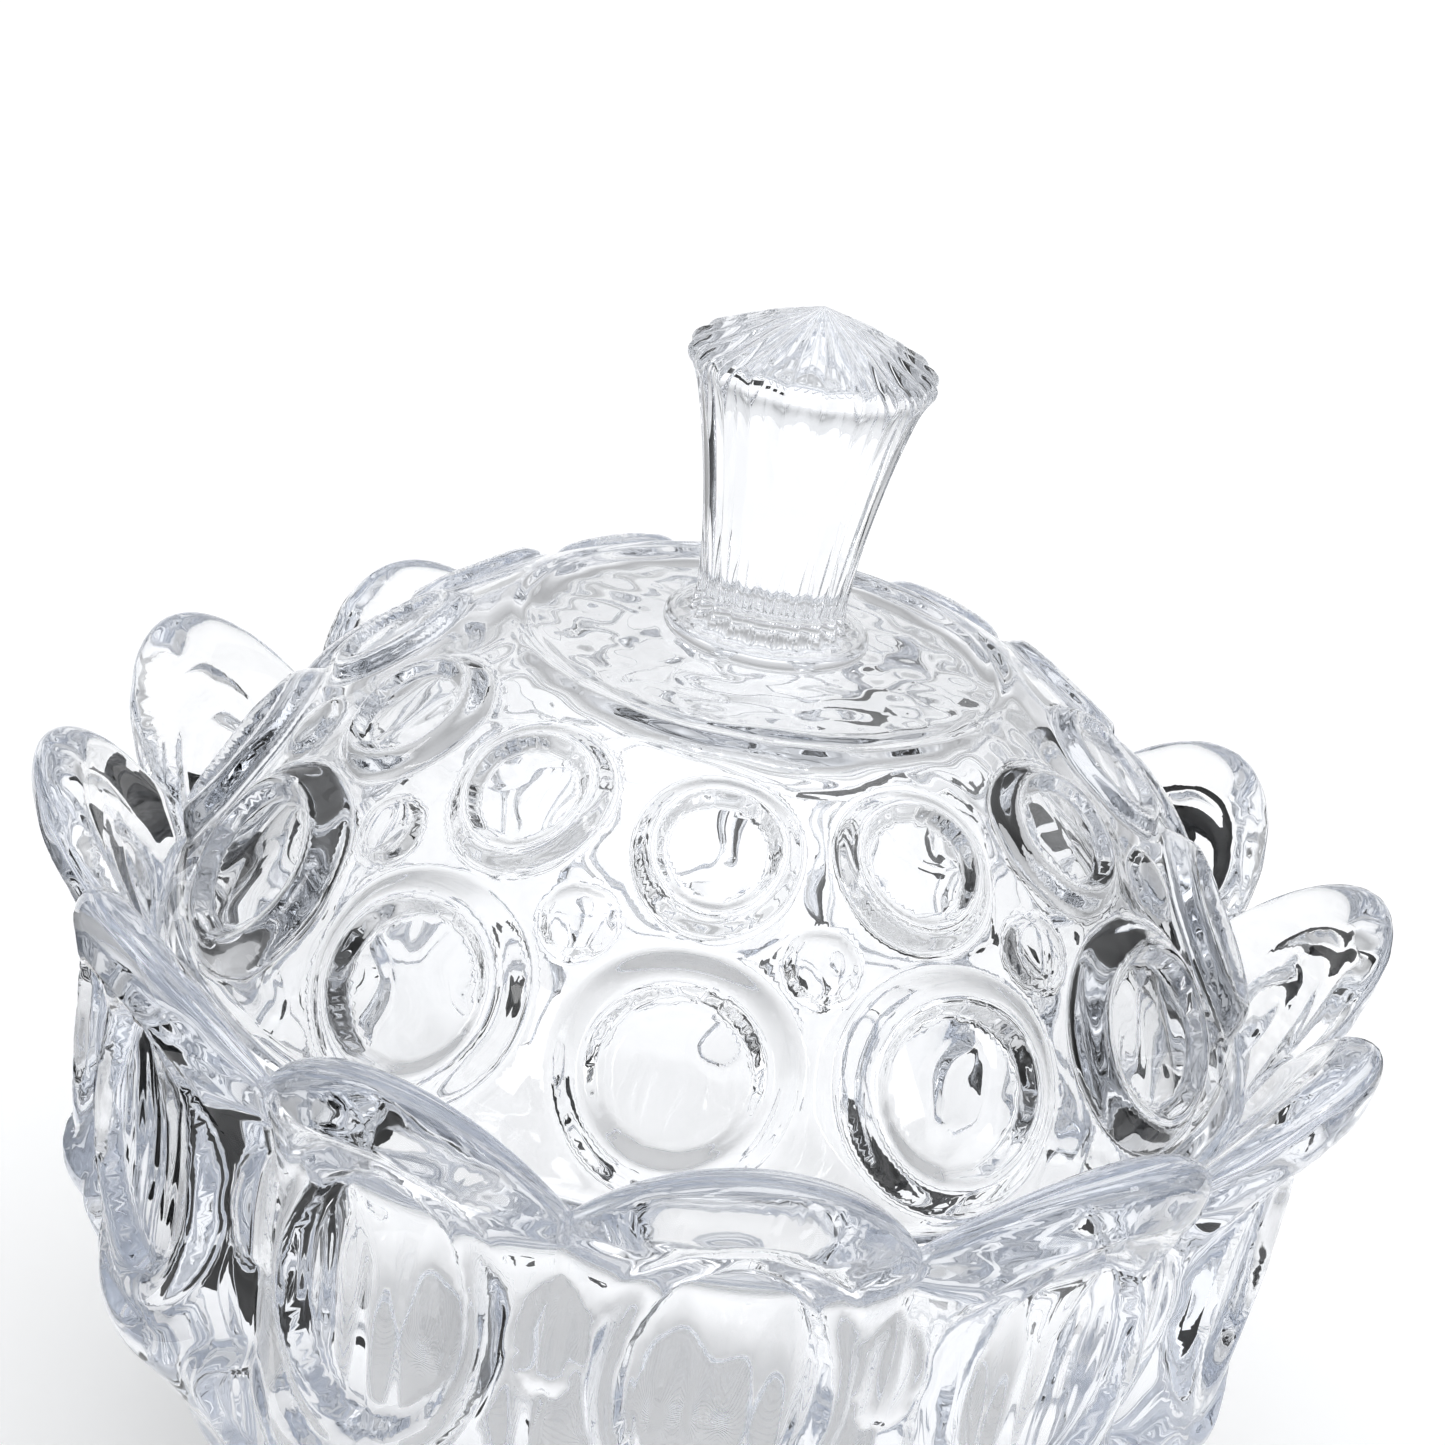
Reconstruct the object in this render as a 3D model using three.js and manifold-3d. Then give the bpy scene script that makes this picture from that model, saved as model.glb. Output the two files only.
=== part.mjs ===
// A pressed crystal powder jar: a lotus-petalled bowl, a domed lid that rests on a ledge inside the
// petals, and a fluted knob bonded to the lid's disc.
// Millimetres, +Z up. The origin is on the table, under the centre of the bowl's foot, and the middle
// of one petal points along -Y.
import * as THREE from "three";
import { mergeVertices } from "three/addons/utils/BufferGeometryUtils.js";
import Module from "manifold-3d";

const wasm = await Module();
wasm.setup();

// ---- Driving dimensions -------------------------------------------------------------------------

// Bowl
const petalCount = 12;
const bowlRadius = 60; // to the rim, in a notch between two petals
const bowlHeight = 70; // table to the notches
const petalRise = 11.5; // notch to petal tip
const petalFlare = 9.5; // how far a petal's lip stands out past the notches
const lipThickness = 4.6; // across the top of a petal's lip
const lipDepth = 7; // height of the lip's outer face
const notchLip = 1.6; // the same in a notch, where the lip runs out
const lipRound = 0.7; // softening of the lip's edges
const waistBulge = 2; // petal face past the notch radius, at half height
const grooveDepth = 4.8; // notch groove, below the petal face
const ridgeHeight = 35; // table to the blunt ridge under each petal's face
const ridgeLift = 6.5; // the ridge climbs this much from a petal's middle to its edges
const ridgeRound = 0.7; // softening of the ridge
const waistRadius = 50.5; // body under the ridge, where the taper to the foot turns steeper
const waistHeight = 18;
const skirtRun = 3; // the body widens this much over skirtRise before the petals begin
const skirtRise = 6.5;
const footRadius = 38;
const footHeight = 1.6; // the edge that the foot stands on, above which the taper starts
const footRecess = 2; // hollow under the foot
const footRingWidth = 4.5;
const footBevel = 1;
const floorThickness = 8; // table to the inside of the floor
const wallThickness = 7; // at the waist
const floorDish = 1; // the floor's edge above its middle
const cavityRadius = 51; // inside of the bowl, under the ledge
const cavityDraft = 1; // the cavity is this much narrower by the ridge
const cavityLift = 4; // the cavity's corners above those of the outside
const seatWall = 4; // glass between the seat and the notches' rim
const seatDepth = 5; // notches down to the ledge that the lid rests on

// The outside between the upright face and the lip: how far below the notches and how far out from
// the face, then the same along the groove.
const flare = [
  { below: 16, out: 0, grooveBelow: 14, grooveOut: 0.6 },
  { below: 8.5, out: 1.3, grooveBelow: 8, grooveOut: 1 },
  { below: 2.5, out: 3.4, grooveBelow: 4, grooveOut: 2.2 },
];

// The inside of a petal between its lip and the seat: how far below the tip and how far out from the
// seat's wall, then the same in a notch, below the notch's rim.
const innerFlare = [
  { below: 5, out: 6.2, notchBelow: 1.3, notchOut: 2.2 },
  { below: 10.7, out: 3.2, notchBelow: 2.8, notchOut: 1 },
];

// Raised ovals: one on each petal's face, one bead in each groove, one medallion under each groove
const faceOval = { halfWidth: 8.4, halfHeight: 12.6, rim: 4, rise: 1.2, dish: 1.5, below: 14.4 };
const faceLean = -3; // degrees that a face oval leans from upright
const grooveBead = { halfWidth: 3, halfHeight: 6.2, rise: 1.6, below: 14 };
const taperOval = { halfWidth: 4.2, halfHeight: 5.4, rim: 2.6, rise: 1, dish: 0.6, below: 6.5 };

// Lid
const seatClearance = 0.7; // lid's edge to the wall around the ledge
const contactGap = 0.3; // between two pieces that rest on or are bonded to each other
const lidGlass = 5.2; // thickness of the dome
const shoulderRise = 35.5; // ledge to the top of the dome's patterned band
const discRadius = 24.6; // smooth disc around the knob
const discCrown = 0.5; // the disc's middle above its edge
const discStep = 0.5; // small step at the disc's edge
const lidTurn = -8.7; // degrees from a petal's middle to a lid column

// Lid pattern: places are shares of the way from the disc's edge to the lid's edge
const lidColumns = 12;
const upperRing = { halfWidth: 5, halfHeight: 5.2, rim: 2.7, rise: 1.1, dish: 0.2, place: 0.27 };
const lowerRing = { halfWidth: 7, halfHeight: 7, rim: 4, rise: 1.4, dish: 0.2, place: 0.69 };
const dotBead = { halfWidth: 3.4, halfHeight: 3.4, rise: 1.1, place: 0.46 };

// Knob
const fluteCount = 20;
const collarRadius = 10.2;
const collarThickness = 1.9;
const stemFootRadius = 7.2;
const stemHeadRadius = 10.4;
const stemFillet = 0.8; // flare at the stem's foot
const stemMiddle = { share: 0.45, flare: 0.3 }; // of its height, and of its widening by then
const stemHeight = 23.4; // collar's top to the cap's overhang
const capRadius = 12.2;
const capRimHeight = 3.4;
const capConeHeight = 5.2;
const capRound = 0.7; // softening of the cap's rim
const collarRound = 0.7; // softening of the collar's edges
const fluteDepth = 0.5;

// ---- Places worked out from them ----------------------------------------------------------------

const tipHeight = bowlHeight + petalRise;
const tipRadius = bowlRadius + petalFlare;
const faceRadius = bowlRadius + waistBulge;
const grooveRadius = faceRadius - grooveDepth;
const ledgeHeight = bowlHeight - seatDepth;
const seatRadius = bowlRadius - seatWall;

const lidBottom = ledgeHeight + contactGap;
const lidRadius = seatRadius - seatClearance;
const shoulderHeight = lidBottom + shoulderRise;
// the dome is part of a sphere through the lid's edge and the disc's edge
const domeCentre =
  (shoulderHeight ** 2 + discRadius ** 2 - lidBottom ** 2 - lidRadius ** 2) /
  (2 * (shoulderHeight - lidBottom));
const domeRadius = Math.hypot(lidRadius, lidBottom - domeCentre);
const discTop = shoulderHeight + discStep + discCrown;

const collarBottom = discTop + contactGap;
const stemBottom = collarBottom + collarThickness;
const capBottom = stemBottom + stemHeight;

// ---- Shape helpers ------------------------------------------------------------------------------

const radians = THREE.MathUtils.degToRad;

// A solid turned about Z whose outline swings between two outlines, one at the middle of a lobe and
// one in the notch between lobes. Each row is [radius, height, notch radius, notch height], and the
// rows run from the axis below, round the outside, back to the axis.
function lobedSolid(rows, lobes, stepsPerLobe) {
  const columns = lobes * stepsPerLobe;
  const positions = [];
  const index = [];
  const ring = (row) => 1 + (row - 1) * columns;
  const last = rows.length - 1;
  const top = 1 + (last - 1) * columns;
  positions.push(0, 0, rows[0][1]);
  for (const [radius, height, notchRadius, notchHeight] of rows.slice(1, last)) {
    for (let column = 0; column < columns; column++) {
      const across = (2 * (column % stepsPerLobe)) / stepsPerLobe; // 0 middle, 1 notch, 2 next middle
      const offset = across > 1 ? 2 - across : across;
      const swell = 1 - offset * offset;
      const r = notchRadius + (radius - notchRadius) * swell;
      const z = notchHeight + (height - notchHeight) * swell;
      const angle = (2 * Math.PI * column) / columns;
      positions.push(r * Math.sin(angle), -r * Math.cos(angle), z);
    }
  }
  positions.push(0, 0, rows[last][1]);
  for (let column = 0; column < columns; column++) {
    const next = (column + 1) % columns;
    index.push(0, ring(1) + next, ring(1) + column);
    for (let row = 1; row < last - 1; row++) {
      const a = ring(row) + column;
      const b = ring(row) + next;
      const c = ring(row + 1) + next;
      const d = ring(row + 1) + column;
      index.push(a, b, c, a, c, d);
    }
    index.push(top, ring(last - 1) + column, ring(last - 1) + next);
  }
  const geometry = new THREE.BufferGeometry();
  geometry.setAttribute("position", new THREE.Float32BufferAttribute(positions, 3));
  geometry.setIndex(index);
  return geometry;
}

// A row that is the same in the middle of a lobe and in its notch.
const round = (radius, height) => [radius, height, radius, height];

// A three.js geometry as a solid that can be cut and joined.
function solidFrom(geometry) {
  const bare = geometry.clone();
  bare.deleteAttribute("normal");
  bare.deleteAttribute("uv");
  const merged = mergeVertices(bare, 1e-4);
  return new wasm.Manifold(
    new wasm.Mesh({
      numProp: 3,
      vertProperties: new Float32Array(merged.attributes.position.array),
      triVerts: new Uint32Array(merged.index.array),
    }),
  );
}

function geometryFrom(solid) {
  const mesh = solid.getMesh();
  const geometry = new THREE.BufferGeometry();
  geometry.setAttribute("position", new THREE.Float32BufferAttribute(mesh.vertProperties, 3));
  geometry.setIndex(new THREE.Uint32BufferAttribute(mesh.triVerts, 1));
  geometry.computeVertexNormals();
  return geometry;
}

// Where an ornament sits: `tilt` is the angle of its outward axis up from the horizontal.
function ornamentPlace(azimuth, radius, height, tilt) {
  return new THREE.Matrix4()
    .makeRotationZ(azimuth)
    .multiply(new THREE.Matrix4().makeTranslation(0, -radius, height))
    .multiply(new THREE.Matrix4().makeRotationX(Math.PI / 2 - tilt));
}

const ornamentSides = 12;
const ornamentRoot = 2.2; // how deep an ornament reaches into the glass that carries it

// A raised oval rim, lying in its own XY plane with its outward axis along +Z.
function rimGeometry({ halfWidth, halfHeight, rim, rise }) {
  const outline = [
    new THREE.Vector2(1, -ornamentRoot),
    new THREE.Vector2(1 + rim / halfWidth, -ornamentRoot / 2),
    new THREE.Vector2(1 + rim / (2 * halfWidth), rise),
    new THREE.Vector2(1, rise / 3),
    new THREE.Vector2(1, -ornamentRoot),
  ];
  return new THREE.LatheGeometry(outline, ornamentSides)
    .rotateX(Math.PI / 2)
    .scale(halfWidth, halfHeight, 1);
}

// The shallow hollow inside a rim.
function dishGeometry({ halfWidth, halfHeight, rise, dish }) {
  const outline = [
    new THREE.Vector2(0, -dish),
    new THREE.Vector2(1, rise / 3),
    new THREE.Vector2(1, ornamentRoot + rise),
    new THREE.Vector2(0, ornamentRoot + rise),
  ];
  return new THREE.LatheGeometry(outline, ornamentSides)
    .rotateX(Math.PI / 2)
    .scale(halfWidth, halfHeight, 1);
}

// A smooth bead, half sunk in the glass.
function beadGeometry({ halfWidth, halfHeight, rise }) {
  return new THREE.SphereGeometry(1, 8, 6).scale(halfWidth, halfHeight, rise);
}

// Adds an ornament to `solid` at every step round the axis, then cuts its hollow if it has one.
function withOrnaments(solid, sizes, count, firstAzimuth, radius, height, tilt) {
  const raised = sizes.rim ? rimGeometry(sizes) : beadGeometry(sizes);
  const adds = [];
  const cuts = [];
  for (let copy = 0; copy < count; copy++) {
    const azimuth = firstAzimuth + (2 * Math.PI * copy) / count;
    const place = ornamentPlace(azimuth, radius, height, tilt);
    adds.push(solidFrom(raised.clone().applyMatrix4(place)));
    if (sizes.dish) cuts.push(solidFrom(dishGeometry(sizes).applyMatrix4(place)));
  }
  const joined = wasm.Manifold.union([solid, ...adds]);
  return cuts.length ? wasm.Manifold.difference([joined, ...cuts]) : joined;
}

// ---- Bowl ---------------------------------------------------------------------------------------

function bowlSolid() {
  const halfPitch = Math.PI / petalCount;
  const footInside = footRadius - footRingWidth;
  const ridgeFoot = ridgeHeight - 3 * ridgeRound;
  const lipBottom = tipHeight - lipDepth;
  const lipMiddle = tipHeight - lipDepth / 3;
  const lipInside = tipRadius - lipThickness;
  const rows = [
    round(0, footRecess),
    round(footInside, footRecess),
    round(footInside + footBevel, 0),
    round(footRadius - footBevel, 0),
    round(footRadius, footHeight),
    round(waistRadius, waistHeight),
    round(waistRadius + skirtRun, waistHeight + skirtRise),
    // the ridge, and the outside of the petal over it
    [faceRadius, ridgeFoot, grooveRadius, ridgeFoot + ridgeLift],
    [faceRadius + ridgeRound, ridgeHeight, grooveRadius, ridgeHeight + ridgeLift],
    ...flare.map(({ below, out, grooveBelow, grooveOut }) => [
      faceRadius + out, bowlHeight - below, grooveRadius + grooveOut, bowlHeight - grooveBelow,
    ]),
    // the lip's outer face and its rounded top
    [tipRadius - lipRound, lipBottom, bowlRadius + lipRound / 2, bowlHeight - notchLip],
    [tipRadius, lipMiddle, bowlRadius + lipRound, bowlHeight - notchLip / 2],
    [tipRadius - lipRound, tipHeight - lipRound, bowlRadius + lipRound / 2, bowlHeight - notchLip / 8],
    [tipRadius - lipThickness / 2, tipHeight, bowlRadius, bowlHeight],
    [lipInside, tipHeight - lipRound, bowlRadius - lipRound, bowlHeight - lipRound / 2],
    ...innerFlare.map(({ below, out, notchBelow, notchOut }) => [
      seatRadius + out, tipHeight - below, seatRadius + notchOut, bowlHeight - notchBelow,
    ]),
    round(seatRadius, ledgeHeight),
    round(cavityRadius, ledgeHeight),
    round(cavityRadius - cavityDraft, ridgeHeight + cavityLift),
    round(waistRadius - wallThickness, waistHeight + cavityLift),
    round(footRadius - wallThickness / 2, floorThickness + floorDish),
    round(0, floorThickness),
  ];
  const stepsPerPetal = 6;
  let bowl = solidFrom(lobedSolid(rows, petalCount, stepsPerPetal));
  // a face oval's rim stands level with the petal's face, and its hollow lies behind it
  bowl = withOrnaments(
    bowl, faceOval, petalCount, 0, faceRadius - faceOval.rise, bowlHeight - faceOval.below,
    radians(faceLean),
  );
  const beadRadius = grooveRadius + flare[0].grooveOut;
  bowl = withOrnaments(
    bowl, grooveBead, petalCount, halfPitch, beadRadius, bowlHeight - grooveBead.below, 0,
  );
  // the medallions under the grooves lie square to the slope between the waist and the groove's foot
  const slopeRun = grooveRadius - waistRadius;
  const slopeRise = ridgeHeight + ridgeLift - waistHeight;
  const taperHeight = ridgeHeight + ridgeLift - taperOval.below;
  const taperRadius = grooveRadius - (slopeRun * taperOval.below) / slopeRise;
  const taperTilt = -Math.atan2(slopeRun, slopeRise);
  return withOrnaments(
    bowl, taperOval, petalCount, halfPitch, taperRadius, taperHeight, taperTilt,
  );
}

// ---- Lid ----------------------------------------------------------------------------------------

// Angle from the vertical at the dome's centre, a share of the way from the disc to the lid's edge.
function domeAngle(share) {
  const atDisc = Math.asin(discRadius / domeRadius);
  const atEdge = Math.atan2(lidRadius, lidBottom - domeCentre);
  return atDisc + (atEdge - atDisc) * share;
}

function lidSolid() {
  const arcSteps = 8;
  const outline = [new THREE.Vector2(0, discTop)];
  outline.push(new THREE.Vector2(collarRadius + discCrown, discTop));
  outline.push(new THREE.Vector2(discRadius - 2 * discStep, shoulderHeight + discStep));
  for (let step = 0; step <= arcSteps; step++) {
    const angle = domeAngle(step / arcSteps);
    const height = domeCentre + domeRadius * Math.cos(angle);
    outline.push(new THREE.Vector2(domeRadius * Math.sin(angle), height));
  }
  const innerRadius = domeRadius - lidGlass;
  const innerTop = discTop - lidGlass;
  const innerEdge = Math.acos((lidBottom - domeCentre) / innerRadius);
  const innerDisc = Math.acos((innerTop - domeCentre) / innerRadius);
  const innerSteps = 5;
  for (let step = 0; step <= innerSteps; step++) {
    const angle = innerEdge + ((innerDisc - innerEdge) * step) / innerSteps;
    const height = domeCentre + innerRadius * Math.cos(angle);
    outline.push(new THREE.Vector2(innerRadius * Math.sin(angle), height));
  }
  outline.push(new THREE.Vector2(0, innerTop));
  const turned = new THREE.LatheGeometry(outline.reverse(), 4 * lidColumns).rotateX(Math.PI / 2);
  const halfPitch = Math.PI / lidColumns;
  let lid = solidFrom(turned);
  for (const [ornament, firstAzimuth] of [[upperRing, 0], [lowerRing, 0], [dotBead, halfPitch]]) {
    const angle = domeAngle(ornament.place);
    const radius = domeRadius * Math.sin(angle);
    const height = domeCentre + domeRadius * Math.cos(angle);
    lid = withOrnaments(
      lid, ornament, lidColumns, firstAzimuth, radius, height, Math.PI / 2 - angle,
    );
  }
  return lid;
}

// ---- Knob ---------------------------------------------------------------------------------------

function knobGeometry() {
  const capTop = capBottom + capRimHeight;
  const middleHeight = stemBottom + stemHeight * stemMiddle.share;
  const middleRadius = stemFootRadius + (stemHeadRadius - stemFootRadius) * stemMiddle.flare;
  const fluted = (radius, height) => [radius - fluteDepth, height, radius, height];
  const rows = [
    round(0, collarBottom),
    round(collarRadius - collarRound, collarBottom),
    round(collarRadius, collarBottom + collarRound),
    round(collarRadius, stemBottom - collarRound),
    round(collarRadius - collarRound, stemBottom),
    fluted(stemFootRadius + stemFillet, stemBottom),
    fluted(stemFootRadius, stemBottom + 2 * stemFillet),
    fluted(middleRadius, middleHeight),
    fluted(stemHeadRadius, capBottom - 2 * capRound),
    // the cap overhangs the stem, and its rim is scalloped
    fluted(capRadius - capRound, capBottom + capRound),
    fluted(capRadius, capBottom + capRimHeight / 2),
    fluted(capRadius - capRound, capTop),
    fluted(capRadius / 2, capTop + capConeHeight / 2),
    round(0, capTop + capConeHeight),
  ];
  return lobedSolid(rows, fluteCount, 2);
}

// ---- Assembly -----------------------------------------------------------------------------------

const crystal = (color) =>
  new THREE.MeshStandardMaterial({
    color, roughness: 0.03, metalness: 0, transparent: true, opacity: 0.4,
  });

function piece(name, geometry, color) {
  const mesh = new THREE.Mesh(geometry, crystal(color));
  mesh.name = name;
  return mesh;
}

const jar = new THREE.Group();
jar.add(piece("bowl", geometryFrom(bowlSolid()), 0xe6ecf1));

const cover = new THREE.Group();
cover.rotation.z = radians(lidTurn);
cover.add(piece("lid", geometryFrom(lidSolid()), 0xeef2f5));
cover.add(piece("knob", knobGeometry(), 0xf2f5f7));
jar.add(cover);

export default jar;
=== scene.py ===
"""A pressed-crystal powder jar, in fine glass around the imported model.

The three CAD pieces are replaced one for one by finer meshes turned from the same outlines. Lengths
of the jar are in millimetres until a mesh is written; the stage is in metres.
"""

import math

import bpy
import numpy as np
from mathutils import Matrix, Vector


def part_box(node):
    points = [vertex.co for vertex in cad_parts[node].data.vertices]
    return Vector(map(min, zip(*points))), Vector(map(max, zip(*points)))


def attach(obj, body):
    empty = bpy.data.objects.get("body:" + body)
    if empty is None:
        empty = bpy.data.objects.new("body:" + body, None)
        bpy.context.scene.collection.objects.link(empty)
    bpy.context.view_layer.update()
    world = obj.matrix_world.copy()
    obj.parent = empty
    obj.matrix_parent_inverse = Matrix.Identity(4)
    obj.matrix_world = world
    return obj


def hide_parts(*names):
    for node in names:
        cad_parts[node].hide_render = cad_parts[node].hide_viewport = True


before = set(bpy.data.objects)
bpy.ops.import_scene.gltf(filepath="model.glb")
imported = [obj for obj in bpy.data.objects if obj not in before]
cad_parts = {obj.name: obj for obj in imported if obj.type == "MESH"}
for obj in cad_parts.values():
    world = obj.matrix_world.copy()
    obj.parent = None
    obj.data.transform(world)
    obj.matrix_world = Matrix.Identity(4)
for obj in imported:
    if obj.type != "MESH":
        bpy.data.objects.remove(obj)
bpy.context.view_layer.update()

MM = 0.001

# ---- Places taken from the frame ----------------------------------------------------------------

bowl_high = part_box("bowl")[1] / MM
lid_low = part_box("lid")[0] / MM
knob_low, knob_high = [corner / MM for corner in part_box("knob")]

TIP_RADIUS = bowl_high.x
TIP_HEIGHT = bowl_high.z
LID_BOTTOM = lid_low.z
COLLAR_BOTTOM = knob_low.z
KNOB_TOP = knob_high.z

# ---- Sizes, as in the CAD model -----------------------------------------------------------------

PETALS = 12
BOWL_HEIGHT = TIP_HEIGHT - 11.5  # in the notches between the petals, as is the next
BOWL_RADIUS = TIP_RADIUS - 9.5
FACE_RADIUS = BOWL_RADIUS + 2
GROOVE_RADIUS = FACE_RADIUS - 4.8
RIDGE_HEIGHT = 35
RIDGE_LIFT = 6.5  # from a petal's middle to its notch
RIDGE_TOP = RIDGE_HEIGHT + RIDGE_LIFT
WAIST_RADIUS = 50.5
WAIST_HEIGHT = 18
FOOT_RADIUS = 38
FOOT_HEIGHT = 1.6
FOOT_RECESS = 2
FOOT_RING = 4.5
RECESS_RADIUS = FOOT_RADIUS - FOOT_RING
FLOOR = 8
WALL = 7
CAVITY_RADIUS = 51
SEAT_RADIUS = BOWL_RADIUS - 4
LEDGE_HEIGHT = BOWL_HEIGHT - 5
LIP_THICKNESS = 4.6
LIP_DEPTH = 7

LID_RADIUS = SEAT_RADIUS - 0.7
LID_GLASS = 5.2
SHOULDER_HEIGHT = LID_BOTTOM + 36.3
DISC_RADIUS = 24.6
DISC_TOP = SHOULDER_HEIGHT + 0.3
LID_COLUMNS = 12
LID_TURN = math.radians(-8.7)
DOME_CENTRE = (SHOULDER_HEIGHT ** 2 + DISC_RADIUS ** 2 - LID_BOTTOM ** 2 - LID_RADIUS ** 2) / (
    2 * (SHOULDER_HEIGHT - LID_BOTTOM))
DOME_RADIUS = math.hypot(LID_RADIUS, LID_BOTTOM - DOME_CENTRE)
SHOULDER_ANGLE = math.asin(DISC_RADIUS / DOME_RADIUS)  # from the vertical, as is the next
EDGE_ANGLE = math.atan2(LID_RADIUS, LID_BOTTOM - DOME_CENTRE)

FLUTES = 20
COLLAR_RADIUS = 10.2
COLLAR_TOP = COLLAR_BOTTOM + 1.6
STEM_FOOT = 7.2
CAP_RADIUS = 12.2
CAP_HEIGHT = 5.5

# ---- Relief on the bowl -------------------------------------------------------------------------

OVAL_HALF_WIDTH = 8.4
OVAL_HALF_HEIGHT = 12.6
OVAL_DROP = 14.4  # from the notches down to its middle
OVAL_SET_BACK = 1.2  # from a petal's face to the plane that the oval is measured from
OVAL_LEAN = 0.03  # of that plane, outwards for each millimetre up
OVAL_EDGE = -0.6  # level at the foot of the rim's inner wall
OVAL_DISH = 1.3
OVAL_RIM = 4.2
OVAL_RIM_SHARES = (0, 0.12, 0.28, 0.42, 0.56, 0.82, 1)
OVAL_RIM_LEVELS = (OVAL_EDGE, 0.6, 1.35, 1.3, 0.9, -0.3, 0)
OVAL_LIP_SHARE = 0.4  # how much less it keeps to the plane where it runs into the lip
OVAL_DEEPEST, OVAL_HIGHEST = -3.5, 4

BEAD_DROP = 14  # from the notches down to its middle
BEAD_SIZES = (3, 6.2, 1.6)  # half width, half height, rise
TAPER_DROP = 9.5  # from the ridge down to the medallion's middle
TAPER_SIZES = (4.6, 6, 2.8, 1.4, 0.6)  # half width, half height, rim, rise, dish

TAPER_FLUTES = 3 * PETALS
TAPER_FLUTE_DEPTH = 0.3
STAR_RAYS = 48
STAR_DEPTH = 0.15
COMB_TEETH = 66
COMB_DEPTH = 0.15

# ---- Light and view -----------------------------------------------------------------------------

# name, azimuth, lower edge, upper edge, width, distance
BLACK_CARDS = (
    ("card_right", 87, 0.0, 0.17, 0.30, 0.20),
    ("card_back", 138, 0.0, 0.04, 0.15, 0.20),
    ("card_left", -88, 0.0, 0.12, 0.22, 0.15),
)
SOFTBOXES = (
    ("softbox_left", -45, 0.25, 0.75, 0.12, 0.8),
    ("softbox_right", 42, 0.35, 0.75, 0.12, 0.8),
)
LOW_CARD_X = (-0.19, -0.09)
LOW_CARD_Y = (-0.07, 0.12)
LOW_CARD_Z = 0.001  # just above the floor
CARD_GREY = 0.004
SOFTBOX_GLOW = 5.0
FLOOR_REACH = (-4.0, 4.0)
FLOOR_GREY = 0.8
FLOOR_GLOW = 0.32
SKY_LEVELS = ((0.0, 0.58), (0.35, 0.3), (0.75, 0.52), (0.95, 1.0))  # sine of elevation, level
SKY_TINT = (0.975, 0.985, 1.0)
SKY_STRENGTH = 1.62
VIEW_GAMMA = 0.88

CAMERA_AZIMUTH, CAMERA_ELEVATION, CAMERA_ROLL = -7.73, 26.907, 10.404
CAMERA_PAN, CAMERA_TILT = -0.4166, 3.1886
CAMERA_DISTANCE = 6.0006  # in radii of the bowl
CAMERA_LENS, CAMERA_SENSOR = 87.92, 36
CAMERA_CLIP = 0.01, 100

# ---- Outlines -----------------------------------------------------------------------------------


def eased(points, eases):
    """A line through points, with a curve round each inner corner that starts `ease` away from it."""
    steps = 8
    most = 0.46  # of a side that one corner's curve may take
    line = [points[0]]
    for before, here, after, ease in zip(points, points[1:], points[2:], eases[1:]):
        back, ahead = before - here, after - here
        start = here + back * min(most, ease / np.hypot(*back))
        end = here + ahead * min(most, ease / np.hypot(*ahead))
        line += [line[-1] + (start - line[-1]) * t for t in np.linspace(0, 1, steps)[1:-1]]
        t = np.linspace(0, 1, steps)[:, None]
        line += list((1 - t) ** 2 * start + 2 * t * (1 - t) * here + t ** 2 * end)
    line += [line[-1] + (points[-1] - line[-1]) * t for t in np.linspace(0, 1, steps)[1:]]
    return np.array(line)


def outline(corners):
    """Evenly spaced rows (radius, height, notch radius, notch height) along a lobed solid's outline.

    A corner is (radius, height, notch radius, notch height, ease, grain), where grain is the spacing
    of the rows on the way to it.
    """
    corners = np.array(corners, float)
    middle = eased(corners[:, 0:2], corners[:, 4])
    notch = eased(corners[:, 2:4], corners[:, 4])
    grain = np.interp(
        np.linspace(0, 1, len(middle) - 1), np.linspace(0, 1, len(corners) - 1), corners[1:, 5])
    lengths = np.hypot(*np.diff((middle + notch) / 2, axis=0).T)
    place = np.concatenate([[0], np.cumsum(lengths / grain)])
    at = np.linspace(0, place[-1], round(place[-1]) + 1)
    return np.array([np.interp(at, place, column) for column in np.hstack([middle, notch]).T]).T


def plain(radius, height, ease, grain):
    """A corner that is the same at the middle of a lobe and in its notch."""
    return radius, height, radius, height, ease, grain


# ---- Meshes -------------------------------------------------------------------------------------


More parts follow.
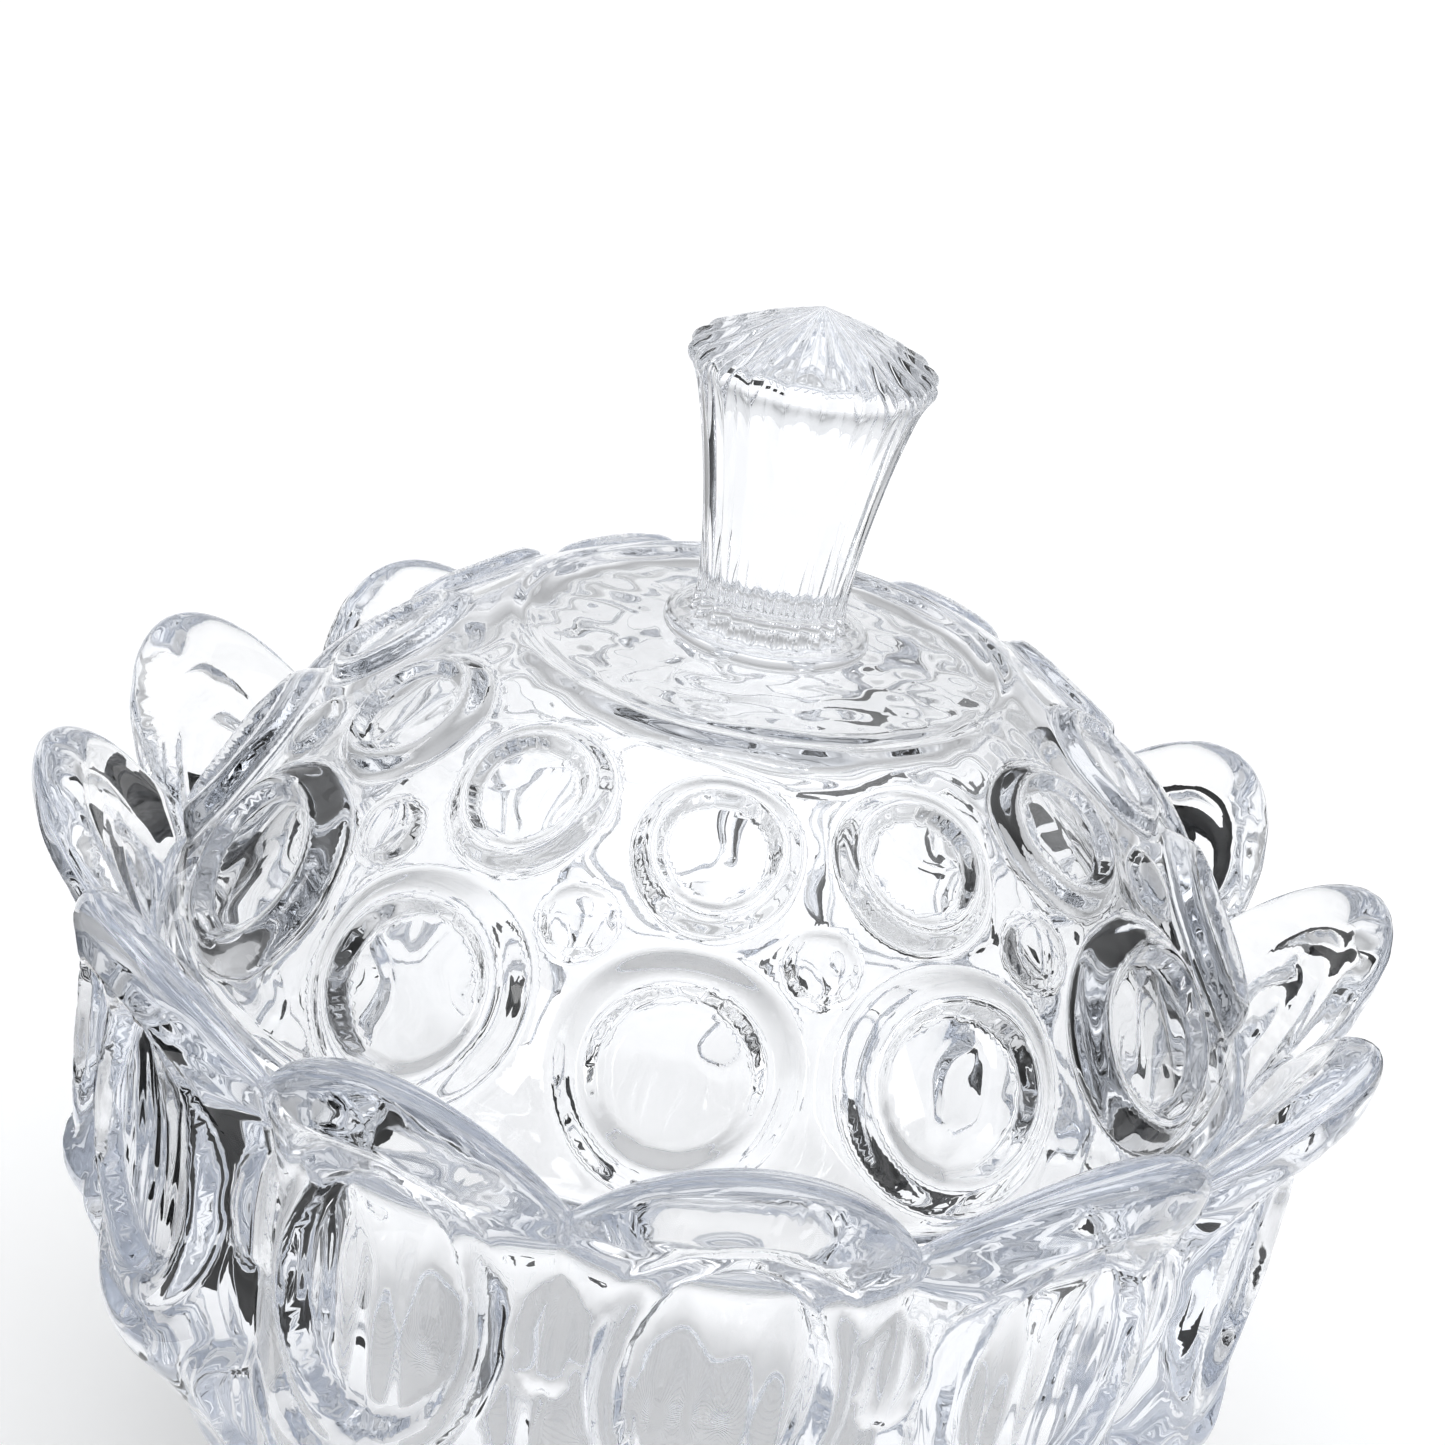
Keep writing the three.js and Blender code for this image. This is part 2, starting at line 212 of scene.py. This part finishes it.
def turned(name, rows, lobes, steps, relief):
    """A closed lobed solid turned about Z, raised by relief(turn, radius, height, outward).

    outward holds the two parts of the unit normal, away from the axis and up. A lobe has `steps`
    columns.
    """
    columns = lobes * steps
    turn = 2 * np.pi * np.arange(columns) / columns
    offset = (np.arange(columns) % steps) * 2 / steps
    offset = np.where(offset > 1, 2 - offset, offset)
    swell = 1 - offset ** 2
    body = rows[1:-1, :, None]
    radius = body[:, 2] + (body[:, 0] - body[:, 2]) * swell
    height = body[:, 3] + (body[:, 1] - body[:, 3]) * swell
    along_r, along_z = np.gradient(radius, axis=0), np.gradient(height, axis=0)
    length = np.hypot(along_r, along_z)
    outward = along_z / length, -along_r / length
    raised = relief(turn[None, :], radius, height, outward)
    radius = radius + raised * outward[0]
    height = height + raised * outward[1]
    shell = np.stack([radius * np.sin(turn), -radius * np.cos(turn), height], -1).reshape(-1, 3)
    vertices = np.vstack([[0, 0, rows[0, 1]], shell, [0, 0, rows[-1, 1]]]) * MM
    ring = 1 + columns * np.arange(len(body))[:, None] + np.arange(columns)
    ahead = np.roll(ring, -1, axis=1)
    quads = np.stack([ring[:-1], ahead[:-1], ahead[1:], ring[1:]], -1).reshape(-1, 4)
    last = len(vertices) - 1
    bottom = [(0, b, a) for a, b in zip(ring[0], ahead[0])]
    top = [(last, a, b) for a, b in zip(ring[-1], ahead[-1])]
    mesh = bpy.data.meshes.new(name)
    mesh.from_pydata(vertices.tolist(), [], quads.tolist() + bottom + top)
    mesh.polygons.foreach_set("use_smooth", np.ones(len(mesh.polygons), bool))
    mesh.update()
    piece = bpy.data.objects.new(name, mesh)
    bpy.context.scene.collection.objects.link(piece)
    return piece


def nearest_copy(turn, copies, first):
    """The angle from the nearest of `copies` equal places round the axis, the first at `first`."""
    pitch = 2 * np.pi / copies
    return (turn - first + pitch / 2) % pitch - pitch / 2


def smooth(t):
    """0 to 1 as t goes from 0 to 1, level at both ends."""
    t = np.clip(t, 0, 1)
    return t * t * (3 - 2 * t)


def medallion(x, y, half_width, half_height, rim, rise, dish):
    """A hollow inside a raised rim, with a steep inner wall, a long outer slope and fine threads.

    x and y are distances from its centre.
    """
    base = 0.3  # where the hollow meets the rim, as a share of the rise
    away = np.hypot(x, y * half_width / half_height)
    hollow = base * rise - dish * (1 - (away / half_width) ** 2)
    share = (away - half_width) / rim
    levels = np.array([base, 0.8, 0.98, 1, 0.88, 0.06, 0]) * rise
    ridge = np.interp(share, [0, 0.08, 0.2, 0.32, 0.44, 0.94, 1], levels)
    threads = 0.02 * rise * np.sin(4 * np.pi * share)
    threads = threads * smooth(share / 0.3) * smooth((1.3 - share) / 0.4)
    return np.where(share < 0, hollow, ridge + threads)


def bead(x, y, half_width, half_height, rise):
    """A convex button."""
    away = np.hypot(x / half_width, y / half_height)
    return rise * np.sqrt(np.clip(1 - away ** 2, 0, 1))


def waves(x, y, z, size, depth):
    """The slow unevenness of fire-polished glass, with waves of one size and depth."""
    k = 2 * np.pi / size
    return depth * (
        np.sin(k * (x + 0.6 * y) + 1.3) * np.sin(k * (0.8 * z - 0.5 * y) + 0.4)
        + 0.6 * np.sin(k * 1.7 * (y - 0.3 * x + 0.4 * z) + 2.1))


def face_oval(turn, radius, height):
    """A hollow oval in a raised rim on each petal's face, measured from a plane, not from the wall."""
    at_middle = nearest_copy(turn, PETALS, 0)
    across = radius * np.sin(at_middle)
    up = height - (BOWL_HEIGHT - OVAL_DROP)
    behind = FACE_RADIUS - OVAL_SET_BACK + OVAL_LEAN * up - radius * np.cos(at_middle)
    away = np.hypot(across, up * OVAL_HALF_WIDTH / OVAL_HALF_HEIGHT) - OVAL_HALF_WIDTH
    hollow = OVAL_EDGE - OVAL_DISH * (1 - (1 + np.minimum(away, 0) / OVAL_HALF_WIDTH) ** 2)
    ridge = np.interp(away / OVAL_RIM, OVAL_RIM_SHARES, OVAL_RIM_LEVELS)
    level = np.where(away < 0, hollow, ridge)
    on_plane = np.interp(away / OVAL_RIM, [0, 0.4, 1], [1, 1, 0])
    on_plane = on_plane * (1 - OVAL_LIP_SHARE * smooth((up - 8) / 5))
    face = np.clip(level + on_plane * behind, OVAL_DEEPEST, OVAL_HIGHEST)
    return np.where(away < OVAL_RIM, face, 0)


def groove_ornaments(turn, radius, height):
    """A bead in each groove between two petals, and a small medallion on the taper under it."""
    between = nearest_copy(turn, PETALS, np.pi / PETALS) * radius
    button = bead(between, height - (BOWL_HEIGHT - BEAD_DROP), *BEAD_SIZES)
    slope = math.hypot(GROOVE_RADIUS - WAIST_RADIUS, RIDGE_TOP - WAIST_HEIGHT)
    stretch = slope / (RIDGE_TOP - WAIST_HEIGHT)
    low = (height - (RIDGE_TOP - TAPER_DROP)) * stretch
    return button + medallion(between, low, *TAPER_SIZES)


def outer_waves(turn, radius, height):
    """Unevenness of the outside above the foot, stronger on the petals above the notches."""
    x, y = radius * np.sin(turn), radius * np.cos(turn)
    ripple = waves(x, y, height, 7, 0.025) + waves(y, height, x, 16, 0.06)
    in_petal = smooth((height - BOWL_HEIGHT + 2) / 4) * smooth((TIP_HEIGHT - 1 - height) / 4)
    ripple = ripple + in_petal * waves(x, height, y, 8, 0.09)
    return ripple * smooth((height - FOOT_HEIGHT) / 4)


def taper_flutes(turn, height):
    """Shallow flutes from the foot to a little above the waist."""
    flutes = TAPER_FLUTE_DEPTH * np.cos(TAPER_FLUTES * turn)
    return flutes * smooth((height - 3) / 4) * smooth((26 - height) / 5)


def star(turn, radius):
    """Fine rays cut into the hollow under the foot."""
    groove_across = np.abs(nearest_copy(turn, STAR_RAYS, 0)) * STAR_RAYS / np.pi
    rays = -STAR_DEPTH * (1 - groove_across)
    return rays * smooth((RECESS_RADIUS - radius) / 2) * smooth((radius - 3) / 6)


def combing(turn, height):
    """Upright ripples on the cavity's wall that wander a little."""
    wall = smooth((height - FLOOR - 6) / 8) * smooth((LEDGE_HEIGHT - 4 - height) / 8)
    drift = 0.5 * np.sin(height / 6 + 2 * turn) + 0.4 * np.sin(height / 9 - 3 * turn + 1)
    return COMB_DEPTH * wall * np.sin(COMB_TEETH * turn + drift)


def bowl_relief(turn, radius, height, outward):
    """The ornaments and waves outside, the star under the foot and the combing inside."""
    outside = (outward[0] > 0.2) | ((outward[1] < 0) & (radius > FOOT_RADIUS))
    outside &= height < BOWL_HEIGHT + 8
    under = (outward[1] < -0.9) & (radius < RECESS_RADIUS) & (height > FOOT_RECESS - 0.5)
    facing_in = outward[0] < -0.3
    outer = (
        face_oval(turn, radius, height) + groove_ornaments(turn, radius, height)
        + taper_flutes(turn, height) + outer_waves(turn, radius, height))
    inner = combing(turn, height) * facing_in + np.where(under, star(turn, radius), 0)
    return np.where(outside, outer, inner)


# shape, share of the way from the disc to the edge, turn of the first, the shape's sizes
LID_ORNAMENTS = (
    (medallion, 0.27, 0, (5, 5.2, 2.9, 1.6, 0.15)),
    (medallion, 0.69, 0, (7, 7, 4.5, 2.1, 0.2)),
    (bead, 0.46, np.pi / LID_COLUMNS, (3.4, 3.4, 1.1)),
)


def lid_relief(turn, radius, height, outward):
    """Fine rings and waves on both sides of the dome, and the ornaments on its outside."""
    x, y = radius * np.sin(turn), radius * np.cos(turn)
    wander = 1.2 * np.sin(3 * turn) + 0.7 * np.sin(7 * turn)
    rings = 0.03 * np.sin(2 * np.pi * radius / 5.5 + wander)
    total = rings + waves(x, y, height, 8, 0.016) + waves(y, height, x, 15, 0.06)
    from_top = np.arctan2(radius, height - DOME_CENTRE)
    outside = outward[0] * radius + outward[1] * (height - DOME_CENTRE) > 0
    for shape, share, first, sizes in LID_ORNAMENTS:
        across = nearest_copy(turn, LID_COLUMNS, first) * radius
        middle = SHOULDER_ANGLE + (EDGE_ANGLE - SHOULDER_ANGLE) * share
        raised = shape(across, (from_top - middle) * DOME_RADIUS, *sizes)
        total = total + np.where(outside & (radius > DISC_RADIUS), raised, 0)
    return total


def no_relief(turn, radius, height, outward):
    """None: the knob's flutes are in its outline."""
    return np.zeros_like(radius)


# ---- Pieces -------------------------------------------------------------------------------------


def make_bowl():
    ridge, lifted = RIDGE_HEIGHT, RIDGE_TOP
    face, groove = FACE_RADIUS, GROOVE_RADIUS
    high = BOWL_HEIGHT
    rows = outline([
        plain(0, FOOT_RECESS, 0, 3),
        plain(RECESS_RADIUS, FOOT_RECESS, 0.8, 3),
        plain(RECESS_RADIUS + 1, 0, 0.4, 0.6),
        plain(FOOT_RADIUS - 1, 0, 0.6, 0.8),
        plain(FOOT_RADIUS, FOOT_HEIGHT, 0.8, 0.8),
        plain(WAIST_RADIUS, WAIST_HEIGHT, 4, 1),
        (WAIST_RADIUS + 3, WAIST_HEIGHT + 6, WAIST_RADIUS + 2.7, WAIST_HEIGHT + 7, 3, 0.75),
        (face - 0.4, ridge - 2, groove - 0.3, lifted - 2, 2, 0.7),
        (face + 0.7, ridge + 0.5, groove + 0.3, lifted, 1.5, 0.6),
        (face + 0.5, ridge + 9, groove + 0.6, lifted + 5, 4, 0.65),
        (face, high - 16, groove + 0.6, high - 14, 5, 0.7),
        (face + 1.3, high - 8.5, groove + 1, high - 8, 4, 0.7),
        (face + 3.4, high - 2.5, groove + 2.2, high - 4, 2.5, 0.65),
        (TIP_RADIUS - 0.8, TIP_HEIGHT - LIP_DEPTH, BOWL_RADIUS + 0.4, high - 1.6, 1.2, 0.65),
        (TIP_RADIUS, TIP_HEIGHT - LIP_DEPTH / 3, BOWL_RADIUS + 0.7, high - 0.8, 1.5, 0.65),
        (TIP_RADIUS - 0.7, TIP_HEIGHT - 0.5, BOWL_RADIUS + 0.5, high - 0.2, 0.9, 0.5),
        (TIP_RADIUS - LIP_THICKNESS / 2, TIP_HEIGHT, BOWL_RADIUS, high, 1, 0.5),
        (TIP_RADIUS - LIP_THICKNESS, TIP_HEIGHT - 0.6, BOWL_RADIUS - 0.7, high - 0.3, 1.2, 0.5),
        (SEAT_RADIUS + 6.2, TIP_HEIGHT - 5, SEAT_RADIUS + 2.2, high - 1.3, 2, 0.8),
        (SEAT_RADIUS + 3.2, high + 0.8, SEAT_RADIUS + 1, high - 2.8, 2, 1),
        plain(SEAT_RADIUS, LEDGE_HEIGHT, 0.5, 0.9),
        plain(CAVITY_RADIUS, LEDGE_HEIGHT, 0.9, 0.8),
        plain(CAVITY_RADIUS - 1, RIDGE_HEIGHT + 4, 8, 3),
        plain(WAIST_RADIUS - WALL, WAIST_HEIGHT + 4, 6, 3),
        plain(FOOT_RADIUS - WALL / 2, FLOOR + 1, 5, 2.8),
        plain(0, FLOOR, 0, 4),
    ])
    return turned("bowl_crystal", rows, PETALS, steps=44, relief=bowl_relief)


def dome_arc(radius, first, last, steps, ease, grain):
    """Corners on an arc round the dome's centre, between two angles from the vertical."""
    return [
        plain(radius * math.sin(a), DOME_CENTRE + radius * math.cos(a), ease, grain)
        for a in np.linspace(first, last, steps)]


def make_lid():
    inner = DOME_RADIUS - LID_GLASS
    inner_top = DISC_TOP - LID_GLASS
    inner_edge = math.acos((LID_BOTTOM - DOME_CENTRE) / inner)
    inner_disc = math.acos((inner_top - DOME_CENTRE) / inner)
    rows = outline([
        plain(0, inner_top, 0, 2),
        *dome_arc(inner, inner_disc, inner_edge - 0.01, 16, 2, 2),
        plain(inner * math.sin(inner_edge), LID_BOTTOM, 0.8, 0.6),
        plain(LID_RADIUS, LID_BOTTOM, 0.8, 1),
        *dome_arc(DOME_RADIUS, EDGE_ANGLE - 0.02, SHOULDER_ANGLE, 24, 2, 0.55),
        plain(DISC_RADIUS - 1, SHOULDER_HEIGHT - 0.25, 0.6, 0.5),
        plain(DISC_RADIUS - 1.8, SHOULDER_HEIGHT + 0.1, 0.6, 0.5),
        plain(COLLAR_RADIUS, DISC_TOP, 4, 1),
        plain(0, DISC_TOP, 0, 2),
    ])
    return turned("lid_crystal", rows, LID_COLUMNS, steps=48, relief=lid_relief)


def fluted(radius, height, depth, ease, grain):
    """A corner whose middle lies `depth` inside its notch, so that each lobe is a flute."""
    return radius - depth, height, radius, height, ease, grain


def make_knob():
    stem = COLLAR_TOP
    rim = KNOB_TOP - CAP_HEIGHT
    rows = outline([
        plain(0, COLLAR_BOTTOM, 0, 1),
        plain(COLLAR_RADIUS, COLLAR_BOTTOM, 0.7, 0.8),
        plain(COLLAR_RADIUS, COLLAR_TOP, 0.8, 0.25),
        fluted(STEM_FOOT + 0.9, stem, 0.8, 0.6, 0.4),
        fluted(STEM_FOOT + 0.2, stem + 1.8, 0.5, 0.9, 0.3),
        fluted(STEM_FOOT + 0.7, stem + 9.5, 0.13, 4, 0.8),
        fluted(STEM_FOOT + 2.2, stem + 18, 0.13, 4, 0.8),
        fluted(CAP_RADIUS - 1.2, rim - 2.6, 0.35, 2, 0.6),
        fluted(CAP_RADIUS - 0.1, rim - 1.0, 0.75, 0.5, 0.25),
        fluted(CAP_RADIUS, rim - 0.1, 0.8, 0.4, 0.25),
        fluted(CAP_RADIUS - 0.7, rim + 0.7, 0.8, 0.4, 0.25),
        fluted(CAP_RADIUS * 0.5, rim + 3.2, 0.5, 1.5, 0.4),
        plain(0, KNOB_TOP, 0, 0.4),
    ])
    return turned("knob_crystal", rows, FLUTES, steps=16, relief=no_relief)


# ---- Materials ----------------------------------------------------------------------------------


def crystal(name):
    """Clear glass with a very fine unevenness, slightly blue where it is thick."""
    material = bpy.data.materials.new(name)
    material.use_nodes = True
    nodes, links = material.node_tree.nodes, material.node_tree.links
    shader = nodes["Principled BSDF"]
    shader.inputs["Base Color"].default_value = (1, 1, 1, 1)
    shader.inputs["Roughness"].default_value = 0.0
    shader.inputs["IOR"].default_value = 1.52
    shader.inputs["Transmission Weight"].default_value = 1.0
    ripple = nodes.new("ShaderNodeTexNoise")
    ripple.inputs["Scale"].default_value = 220
    ripple.inputs["Detail"].default_value = 1
    place = nodes.new("ShaderNodeTexCoord")
    bump = nodes.new("ShaderNodeBump")
    bump.inputs["Strength"].default_value = 0.25
    bump.inputs["Distance"].default_value = 0.00006
    links.new(place.outputs["Object"], ripple.inputs["Vector"])
    links.new(ripple.outputs["Fac"], bump.inputs["Height"])
    links.new(bump.outputs["Normal"], shader.inputs["Normal"])
    body = nodes.new("ShaderNodeVolumeAbsorption")
    body.inputs["Color"].default_value = (0.1, 0.32, 0.72, 1)
    body.inputs["Density"].default_value = 1.7
    links.new(body.outputs["Volume"], nodes["Material Output"].inputs["Volume"])
    return material


def paint(name, level, glow):
    """A grey of one level that gives off `glow`."""
    material = bpy.data.materials.new(name)
    material.use_nodes = True
    shader = material.node_tree.nodes["Principled BSDF"]
    shader.inputs["Base Color"].default_value = (level, level, level, 1)
    shader.inputs["Emission Color"].default_value = (1, 1, 1, 1)
    shader.inputs["Emission Strength"].default_value = glow
    return material


def matt_paint(name, level, glow):
    """The same, without a sharp reflection."""
    material = paint(name, level, glow)
    shader = material.node_tree.nodes["Principled BSDF"]
    shader.inputs["Roughness"].default_value = 0.9
    shader.inputs["Specular IOR Level"].default_value = 0.0
    return material


# ---- Stage --------------------------------------------------------------------------------------


def plane(name, corners, material):
    mesh = bpy.data.meshes.new(name)
    mesh.from_pydata(corners, [], [(0, 1, 2, 3)])
    sheet = bpy.data.objects.new(name, mesh)
    bpy.context.scene.collection.objects.link(sheet)
    sheet.data.materials.append(material)
    return sheet


def level_corners(x, y, z):
    """The corners of a level sheet, between two places along X and two along Y."""
    return [(x[0], y[0], z), (x[1], y[0], z), (x[1], y[1], z), (x[0], y[1], z)]


def glass_only(sheet):
    """Leave a sheet to be seen in the glass and through it, and nowhere else."""
    sheet.visible_camera = False
    sheet.visible_diffuse = False
    sheet.visible_shadow = False


def card(name, azimuth, low, high, width, distance, material):
    """An upright card between two heights, square to its azimuth."""
    a = math.radians(azimuth)
    middle = Vector((math.sin(a), -math.cos(a), 0)) * distance
    side = Vector((math.cos(a), math.sin(a), 0)) * width / 2
    up = Vector((0, 0, 1))
    glass_only(plane(name, [
        middle - side + up * low, middle + side + up * low,
        middle + side + up * high, middle - side + up * high], material))


def make_stage():
    pale = matt_paint("pale_floor", FLOOR_GREY, FLOOR_GLOW)
    plane("floor", level_corners(FLOOR_REACH, FLOOR_REACH, 0), pale)
    black = matt_paint("black_card", CARD_GREY, 0)
    for place in BLACK_CARDS:
        card(*place, black)
    glass_only(plane("card_low", level_corners(LOW_CARD_X, LOW_CARD_Y, LOW_CARD_Z), black))
    soft = paint("softbox", 0, SOFTBOX_GLOW)
    for place in SOFTBOXES:
        card(*place, soft)


def make_sky():
    """Light from all round, dimmest a little above the table and brightest overhead."""
    world = bpy.data.worlds.new("studio")
    world.use_nodes = True
    nodes, links = world.node_tree.nodes, world.node_tree.links
    place = nodes.new("ShaderNodeTexCoord")
    split = nodes.new("ShaderNodeSeparateXYZ")
    ramp = nodes.new("ShaderNodeValToRGB")
    links.new(place.outputs["Generated"], split.inputs["Vector"])
    links.new(split.outputs["Z"], ramp.inputs["Fac"])
    links.new(ramp.outputs["Color"], nodes["Background"].inputs["Color"])
    stops = ramp.color_ramp.elements
    for where, _ in SKY_LEVELS[1:-1]:
        stops.new(where)
    for stop, (where, level) in zip(stops, SKY_LEVELS):
        stop.position = where
        stop.color = (*[part * level for part in SKY_TINT], 1)
    nodes["Background"].inputs["Strength"].default_value = SKY_STRENGTH
    bpy.context.scene.world = world


def set_view():
    scene = bpy.context.scene
    scene.view_settings.view_transform = "Standard"
    scene.view_settings.gamma = VIEW_GAMMA
    scene.cycles.max_bounces = 32
    scene.cycles.transmission_bounces = 32
    scene.cycles.glossy_bounces = 12
    scene.cycles.diffuse_bounces = 3


def make_camera():
    """The viewing angle: azimuth, elevation and roll, aimed a little off the jar's middle."""
    azimuth, elevation, roll = map(
        math.radians, (CAMERA_AZIMUTH, CAMERA_ELEVATION, CAMERA_ROLL))
    pan, tilt = map(math.radians, (CAMERA_PAN, CAMERA_TILT))
    distance = CAMERA_DISTANCE * BOWL_RADIUS * MM
    centre = Vector((0, 0, BOWL_HEIGHT * MM))
    ahead = Vector((0, math.cos(elevation), -math.sin(elevation)))
    right = Vector((1, 0, 0))
    up = Vector((0, math.sin(elevation), math.cos(elevation)))
    position = centre - ahead * distance

    def swing(a, b, angle):
        return a * math.cos(angle) + b * math.sin(angle), b * math.cos(angle) - a * math.sin(angle)

    ahead, right = swing(ahead, right, pan)
    ahead, up = swing(ahead, up, tilt)
    right, up = swing(right, up, roll)
    data = bpy.data.cameras.new("camera")
    data.sensor_width = CAMERA_SENSOR
    data.lens = CAMERA_LENS
    data.clip_start, data.clip_end = CAMERA_CLIP
    camera = bpy.data.objects.new("camera", data)
    bpy.context.scene.collection.objects.link(camera)
    turn = Matrix.Rotation(azimuth, 4, "Z")
    axes = Matrix((right, up, -ahead)).transposed().to_4x4()
    camera.matrix_world = turn @ Matrix.Translation(position) @ axes
    bpy.context.scene.camera = camera


# ---- Build --------------------------------------------------------------------------------------

make_camera()
make_stage()
make_sky()
set_view()
for make, body, node in (
    (make_bowl, "bowl", "bowl"),
    (make_lid, "lid", "lid"),
    (make_knob, "lid", "knob"),
):
    piece = make()
    piece.data.materials.append(crystal(node + "_glass"))
    if body == "lid":
        piece.data.transform(Matrix.Rotation(LID_TURN, 4, "Z"))
    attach(piece, body)
    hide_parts(node)
